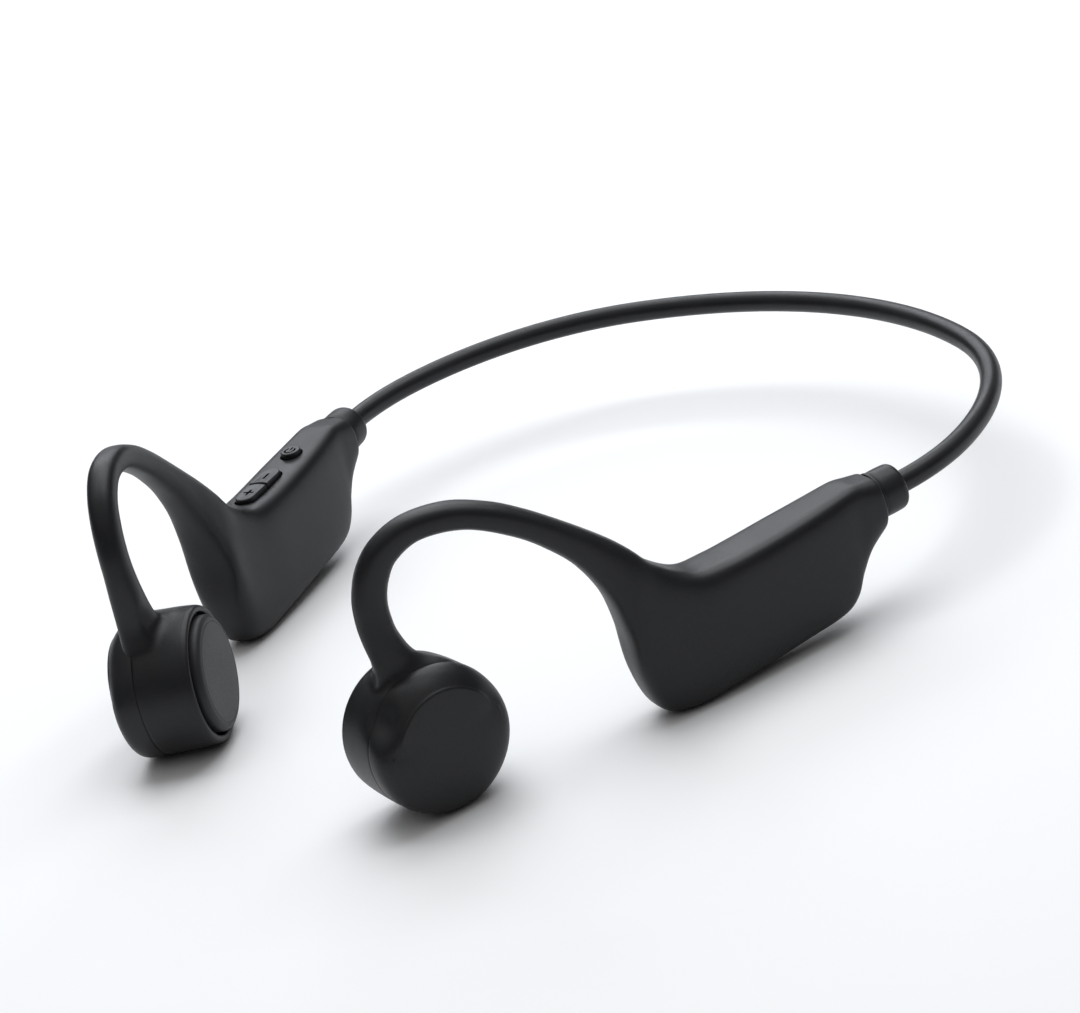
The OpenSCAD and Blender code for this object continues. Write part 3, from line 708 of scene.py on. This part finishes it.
def open_loop(bm, at, normal):
    """The vertices of the longest open edge loop that lies in a plane, in order."""
    unit = normal.normalized()
    nexts = {}
    for edge in bm.edges:
        if edge.is_boundary and all(abs((v.co - at).dot(unit)) < ON_PLANE for v in edge.verts):
            a, b = edge.verts
            nexts.setdefault(a, []).append(b)
            nexts.setdefault(b, []).append(a)
    best, left = [], set(nexts)
    while left:
        loop = [left.pop()]
        while True:
            step = [v for v in nexts[loop[-1]] if v in left]
            if not step:
                break
            loop.append(step[0])
            left.discard(step[0])
        if len(loop) > len(best):
            best = loop
    return best


def zip_loops(bm, one, other, centre, normal):
    """Joins two ordered rings of vertices round the same axis with triangles."""
    across = Vector(normal).orthogonal().normalized()
    up = Vector(normal).normalized().cross(across)

    def around(verts):
        angles = [math.atan2((v.co - centre).dot(up), (v.co - centre).dot(across)) for v in verts]
        turns = [(b - a + math.pi) % (2 * math.pi) - math.pi for a, b in zip(angles, angles[1:] + angles[:1])]
        if sum(turns) < 0:
            return around(verts[::-1])
        first = min(range(len(verts)), key=lambda i: abs(angles[i]))
        verts, turns = verts[first:] + verts[:first], turns[first:] + turns[:first]
        keyed, angle = [], angles[first]
        for v, turn in zip(verts, turns):
            keyed.append((angle, v))
            angle = max(angle, angle + turn)
        return keyed + [(keyed[0][0] + 2 * math.pi, keyed[0][1])]

    a, b = around(list(one)), around(list(other))
    i = j = 0
    while i < len(a) - 1 or j < len(b) - 1:
        step_a = j == len(b) - 1 or (i < len(a) - 1 and a[i + 1][0] < b[j + 1][0])
        if step_a:
            bm.faces.new((a[i][1], a[i + 1][1], b[j][1]))
            i += 1
        else:
            bm.faces.new((a[i][1], b[j + 1][1], b[j][1]))
            j += 1


def ring_verts(bm, rings):
    """The rings' points as new vertices of bm, ring by ring."""
    return [[bm.verts.new(p) for p in ring] for ring in rings]


def skin_rings(bm, rows):
    """Quads between each ring of vertices and the next."""
    for a, b in zip(rows, rows[1:]):
        for k in range(len(a)):
            bm.faces.new((a[k], a[(k + 1) % len(a)], b[(k + 1) % len(a)], b[k]))


def rim_rings(matrix, turns=160):
    """Rings from the body's cut round the rim, down the groove behind the pad and up inside the drum."""
    wall = [(body_radius(z), z) for z in np.linspace(RIM_CUT, RIM + 0.75, 4)]
    lip = quad_curve((12.52, -6.85), (12.42, -7.5), (11.95, -7.6), 7)
    groove = [(11.65, -7.6), (11.35, -7.52), (LIP_RADIUS, -7.25), (LIP_RADIUS, -5.55)]
    inside = [(BORE_RADIUS, -5.5), (BORE_RADIUS, 2.8), (10.4, 4.2), (9.2, 5.2), (4, 5.5)]
    rings = []
    for r, z in wall[:-1] + lip + groove + inside:
        rings.append([matrix @ Vector(p) for p in circle_at(r, z, turns)])
    return rings


def housing_matrix(side):
    """The housing's frame: X outward, Y to the rear along the housing, Z up."""
    flip = 1 if side == "left" else -1
    out = Vector((math.cos(HOUSING_YAW), -math.sin(HOUSING_YAW), 0))
    rear = Vector((math.sin(HOUSING_YAW), math.cos(HOUSING_YAW), 0))
    origin = to_part(side, (plan_x(HOUSING_Y), HOUSING_Y, 0))
    axes = Matrix(((flip * out.x, out.y, 0), (flip * rear.x, rear.y, 0), (0, 0, 1))).transposed()
    return Matrix.Translation(origin) @ axes.to_4x4()


def prism(name, outline, low, high):
    """A straight solid over an outline of (x, y) points, all in mm."""
    return loft(name, [[(x * MM, y * MM, z * MM) for x, y in outline] for z in (low, high)])


def circle_outline(x, y, radius, turns=72):
    angles = (2 * math.pi * k / turns for k in range(turns))
    return [(x + radius * math.cos(a), y + radius * math.sin(a)) for a in angles]


def box_outline(x, y, width, length, corner=0.0, steps=6):
    """A rectangle about (x, y), its corners rounded."""
    half_x, half_y = width / 2 - corner, length / 2 - corner
    if not corner:
        return [(x + u * half_x, y + v * half_y) for u, v in ((-1, -1), (1, -1), (1, 1), (-1, 1))]
    points = []
    corners = [(half_x, half_y), (-half_x, half_y), (-half_x, -half_y), (half_x, -half_y)]
    for turn, (cx, cy) in enumerate(corners):
        for i in range(steps + 1):
            a = math.radians(90 * turn + 90 * i / steps)
            points.append((x + cx + corner * math.cos(a), y + cy + corner * math.sin(a)))
    return points


def pocket_solid(side):
    """The hollow inside a housing that holds its electronics."""
    side_view = [
        (-15, 4.2), (-14.2, 3.4), (12, 3.9), (14.6, 5.4), (17.4, 9.6), (20.2, 13.2), (24, 14.4),
        (24, 19.8), (23.2, 20.6), (-14.2, 20.6), (-15, 19.8), (-15, 12),
    ]
    rings = [[(x * MM, y * MM, z * MM) for y, z in side_view] for x in (-POCKET_HALF, POCKET_HALF)]
    return place(loft("pocket", rings), housing_matrix(side))


def cut_controls(arm):
    """The right housing's holes for its keys, socket, port cover and microphone."""
    matrix = housing_matrix("right")
    around = 2 * KEY_GAP
    volume = box_outline(KEY_X, VOLUME_Y, VOLUME_WIDTH + around, VOLUME_LENGTH + around, 2.32, 12)
    recess_size = (COVER_WIDTH + 2 * RECESS_GAP, COVER_LENGTH + 2 * RECESS_GAP)
    cutters = [
        prism("power_hole", circle_outline(KEY_X, POWER_Y, POWER_RADIUS + KEY_GAP), 18, 30),
        prism("volume_hole", volume, 18, 30),
        prism("cover_recess", box_outline(0, USB_Y, *recess_size, 1.6), -4, 3.1),
        prism("socket_hole", box_outline(0, USB_Y, SOCKET_WIDTH, SOCKET_LENGTH), 3.0, 7),
        prism("microphone_hole", circle_outline(0, MIC_Y, MIC_RADIUS, 32), -4, 6),
    ]
    for cutter in cutters:
        boolean(arm, place(cutter, matrix))


def make_upper_arm(side):
    """The housing and hook down to the foot's cut, hollowed and with its openings."""
    rings = arm_rings(side, 0, FOOT_CUT)
    arm = shade_smooth(loft("upper_arm", rings))
    boolean(arm, pocket_solid(side))
    if side == "right":
        cut_controls(arm)
    return arm, rings


def make_arm(side, mats):
    """Housing, hook, foot and pod body as the one soft moulding that they are."""
    merged = blended_foot(side)
    upper, rings = make_upper_arm(side)
    middle = sum(rings[-1], Vector()) / RING_POINTS
    along = (sum(rings[-2], Vector()) / RING_POINTS - middle).normalized()
    matrix = pod_matrix(side)
    out = matrix.to_3x3() @ Vector((0, 0, 1))
    level = matrix @ Vector((0, 0, RIM_CUT * MM))

    bm = bmesh.new()
    bm.from_mesh(merged.data)
    bpy.data.objects.remove(merged)
    cut_away(bm, middle, along)
    cut_away(bm, level, -out)
    foot_loop = open_loop(bm, middle, along)
    rim_loop = open_loop(bm, level, out)

    bm.from_mesh(upper.data)
    bpy.data.objects.remove(upper)
    end = [min(bm.verts, key=lambda v: (v.co - p).length_squared) for p in rings[-1]]
    end_set = set(end)
    caps = [f for f in bm.faces if all(v in end_set for v in f.verts)]
    bmesh.ops.delete(bm, geom=caps, context="FACES_ONLY")
    zip_loops(bm, foot_loop, end, middle, along)
    rows = ring_verts(bm, rim_rings(matrix))
    skin_rings(bm, rows)
    bm.faces.new(rows[-1])
    zip_loops(bm, rim_loop, rows[0], level, out)

    mesh = bpy.data.meshes.new(f"{side}_arm_moulding")
    bm.to_mesh(mesh)
    bm.free()
    arm = bpy.data.objects.new(f"{side}_arm_moulding", mesh)
    bpy.context.scene.collection.objects.link(arm)
    dent_pod(arm, side)
    flip = 1 if side == "left" else -1
    flank = Vector((flip * 51.6, -38.0, 17.5))
    push = Vector((-flip * 0.6, 1.1, 0)) * FLANK_DEPTH[side]
    dent(arm, Matrix.Identity(4), flank, (4.0, 4.0, 8.5), push)
    shade_smooth(arm, 50)
    nodes = [f"{side}_arm_skin", f"{side}_pod_body"]
    finish_piece(arm, mats["skin"], f"{side}_arm", nodes)


# ---------------------------------------------------------------- keys and port cover

def engrave(key, matrix, outlines, top):
    """Cuts each outline, drawn in the housing's frame, into the key's top."""
    for outline in outlines:
        boolean(key, place(prism("stroke", outline, top - MARK_DEPTH, top + 1), matrix))
    shade_smooth(key, 35)


def make_power_key(mats):
    """A round key with a slightly dished top and a plain power mark."""
    matrix = housing_matrix("right")
    r, top = POWER_RADIUS, POWER_TOP
    stem = [(r, KEY_FOOT), (r, top - 0.42)]
    edge = quad_curve((r, top - 0.36), (r, top - 0.03), (r - 0.36, top), 7)
    dish = [(r - 0.5, top), (r - 0.9, top - 0.03), (0, top - 0.05)]
    key = lathe("power_key", [(0, KEY_FOOT)] + stem + edge + dish, 96)
    place(key, matrix @ Matrix.Translation((KEY_X * MM, POWER_Y * MM, 0)))
    shade_smooth(key, 35)
    outer, inner = [
        [
            (KEY_X + radius * math.sin(a), POWER_Y + RING_SHIFT + radius * math.cos(a))
            for a in (gap + (2 * math.pi - 2 * gap) * k / 40 for k in range(41))
        ]
        for radius, gap in POWER_RING
    ]
    width, length, along = POWER_BAR
    engrave(key, matrix, [outer + inner[::-1], box_outline(KEY_X, POWER_Y + along, width, length)], top)
    finish_piece(key, mats["key"], "power_button", ["power_button"])


def half_pill(front, inset=0.0, steps=24):
    """Outline of one half of the volume key; its inner edge bows towards the back."""
    r = VOLUME_WIDTH / 2 - inset
    reach = VOLUME_LENGTH / 2 - VOLUME_WIDTH / 2
    slit = VOLUME_SLIT / 2 + inset
    sign = -1 if front else 1
    points = [
        (r * math.cos(a), sign * (reach + r * math.sin(a)))
        for a in (math.pi * k / steps for k in range(steps + 1))
    ]
    for k in range(1, 12):
        x = -r + 2 * r * k / 12
        points.append((x, sign * slit + SLIT_BOW * (1 - (x / r) ** 2)))
    inner = sign * slit
    points.insert(steps + 1, (-r, inner))
    points.append((r, inner))
    return [(KEY_X + x, VOLUME_Y + y) for x, y in points]


def make_volume_key(front, mats):
    """The front half carries a plus and turns the volume up; the rear half carries a minus."""
    matrix = housing_matrix("right")
    top = VOLUME_TOP
    edge = 0.4
    turns = [math.pi / 2 * k / 6 for k in range(7)]
    levels = [(KEY_FOOT, 0), (top - 0.45, 0)]
    levels += [(top - edge * (1 - math.sin(a)), edge * (1 - math.cos(a))) for a in turns]
    levels += [(top - 0.02, 0.75), (top - 0.05, 1.3)]
    rings = [[(x * MM, y * MM, z * MM) for x, y in half_pill(front, inset)] for z, inset in levels]
    name = "volume_up_key" if front else "volume_down_key"
    key = place(loft(name, rings), matrix)
    shade_smooth(key, 35)
    at = VOLUME_Y + (-1 if front else 1) * VOLUME_LENGTH / 4
    strokes = [box_outline(KEY_X, at, SIGN_WIDTH, SIGN_LENGTH)]
    if front:
        strokes.append(box_outline(KEY_X, at, SIGN_LENGTH, SIGN_WIDTH))
    engrave(key, matrix, strokes, top)
    body = "volume_up" if front else "volume_down"
    finish_piece(key, mats["key"], body, [f"{body}_button"])


def make_port_cover(mats):
    """The charging socket's cover, with a notch in one end to pull it open by."""
    matrix = housing_matrix("right")
    levels = [(2.98, 0.5), (2.95, 0.1), (2.0, 0), (1.82, 0.08), (1.72, 0.3), (1.7, 0.6)]
    rings = []
    for z, inset in levels:
        size = (COVER_WIDTH - 2 * inset, COVER_LENGTH - 2 * inset)
        outline = box_outline(0, USB_Y, *size, COVER_CORNER - inset, 8)
        rings.append([(x * MM, y * MM, z * MM) for x, y in outline])
    cover = place(loft("port_flap_cover", rings), matrix)
    notch = prism("pull_notch", circle_outline(0, USB_Y + 7.0, 1.7, 48), 1.0, 2.1)
    boolean(cover, place(notch, matrix))
    shade_smooth(cover, 40)
    finish_piece(cover, mats["pad"], "port_flap", ["port_cover"])


# ---------------------------------------------------------------- collars and neckband

# the sleeve's height, its rearmost point and the left half's three radii in mm, and the angles from
# straight back, in degrees, at which its arcs end
BAND_HEIGHT = 19.0
BACK_Y, BACK_R, MID_R, SIDE_R = 78.9, 96.0, 53.0, 38.0
BACK_ANGLE, MID_ANGLE, SIDE_ANGLE = 26.0, 78.0, 106.0
STRAIGHT_END = 3.2
SLEEVE_RADIUS = 2.0
COLLAR_LENGTH = 5.5
COLLAR_RADIUS = 4.3


def compass(angle):
    """Unit (x, y) at an angle in degrees from straight back towards the left."""
    return np.array([math.sin(math.radians(angle)), math.cos(math.radians(angle))])


def band_arcs():
    """Centre, radius and last angle of the left half's arcs, from the middle of the back."""
    back = np.array([0, BACK_Y - BACK_R])
    mid = back + (BACK_R - MID_R) * compass(BACK_ANGLE)
    side = mid + (MID_R - SIDE_R) * compass(MID_ANGLE)
    return [(back, BACK_R, BACK_ANGLE), (mid, MID_R, MID_ANGLE), (side, SIDE_R, SIDE_ANGLE)]


def band_path(step=0.8):
    """(x, y, angle) along the left half, from the middle of the back to inside the collar."""
    path, angle = [], 0.0
    for centre, radius, last in band_arcs():
        count = max(1, round(math.radians(last - angle) * radius / step))
        for i in range(count):
            a = angle + (last - angle) * i / count
            path.append((*(centre + radius * compass(a)), a))
        angle = last
    end = centre + radius * compass(angle)
    forward = compass(angle + 90)
    for along in (0, STRAIGHT_END / 2, STRAIGHT_END):
        path.append((*(end + along * forward), angle))
    return path


def band_tube(name, side, radius, shift, sides):
    """A tube along half the neckband; shift is its height above the sleeve's middle."""
    rings = []
    for x, y, angle in band_path():
        outward = compass(angle)
        ring = []
        for k in range(sides):
            w = 2 * math.pi * k / sides
            u, v = radius * math.cos(w), radius * math.sin(w)
            point = (x + u * outward[0], y + u * outward[1], BAND_HEIGHT + shift + v)
            ring.append(to_part(side, point))
        rings.append(ring)
    return loft(name, rings)


def band_end():
    """(x, y) where the left half of the sleeve ends, inside its collar."""
    centre, radius, angle = band_arcs()[-1]
    return centre + radius * compass(angle) + STRAIGHT_END * compass(angle + 90)


def make_collar(side, mats):
    """The short sleeve where the neckband enters the housing, with a small flange on the housing's end."""
    start = (ARM[0][0] - band_end()[1]) / math.cos(HOUSING_YAW) + 0.02
    length, r, bore = COLLAR_LENGTH, COLLAR_RADIUS, SLEEVE_RADIUS + 0.06
    flange = [(bore, 0), (4.36, 0), (4.4, 0.1), (4.4, 0.42), (4.34, 0.5)]
    groove = [(4.2, 0.54), (4.18, 0.64), (4.24, 0.72)]
    body = [(r - 0.02, 1.4), (r, 2.0), (r, 2.7), (r - 0.04, length - 1.35)]
    end = quad_curve((r - 0.06, length - 1.2), (r - 0.1, length - 0.1), (r - 1.15, length), 9)
    mouth = [(bore + 0.55, length), (bore + 0.2, length - 0.1), (bore, length - 0.4), (bore, 0)]
    profile = flange + groove + body + end + mouth
    collar = lathe(f"{side}_strain_collar", [(a, b + start) for a, b in profile], 128)
    x, y = band_end()
    flip = 1 if side == "left" else -1
    rear = Vector((flip * math.sin(HOUSING_YAW), math.cos(HOUSING_YAW), 0))
    down = Vector((0, 0, -1))
    axes = Matrix((down, rear.cross(down), rear)).transposed()
    place(collar, Matrix.Translation(to_part(side, (x, y, BAND_HEIGHT))) @ axes.to_4x4())
    shade_smooth(collar, 35)
    finish_piece(collar, mats["skin"], f"{side}_arm", [f"{side}_collar"])


def make_neckband(side, mats):
    """One half of the neckband: sleeve, spring wire and leads, curving from the middle round to the arm."""
    parts = [
        ("sleeve", SLEEVE_RADIUS, 0, 40, "sleeve", "sleeve_rubber", "neckband_sleeve"),
        ("wire", 0.5, 0.5, 16, "steel", "spring_steel", "neckband_spring_wire"),
        ("leads", 0.4, -0.7, 16, "lead", "lead_insulation", "neckband_leads"),
    ]
    for name, radius, shift, sides, mat, slot, node in parts:
        tube = band_tube(f"{side}_band_{name}", side, radius, shift, sides)
        shade_smooth(tube, 50)
        tube.data.materials.clear()
        tube.data.materials.append(mats[mat])
        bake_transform(tube)
        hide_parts(node)


make_camera()
make_stage()
mats = make_materials()
dress_cad_nodes(mats)
for side in SIDES:
    make_arm(side, mats)
    make_pod_cap(side, mats)
    make_contact_pad(side, mats)
    make_collar(side, mats)
    make_neckband(side, mats)
make_power_key(mats)
make_volume_key(True, mats)
make_volume_key(False, mats)
make_port_cover(mats)
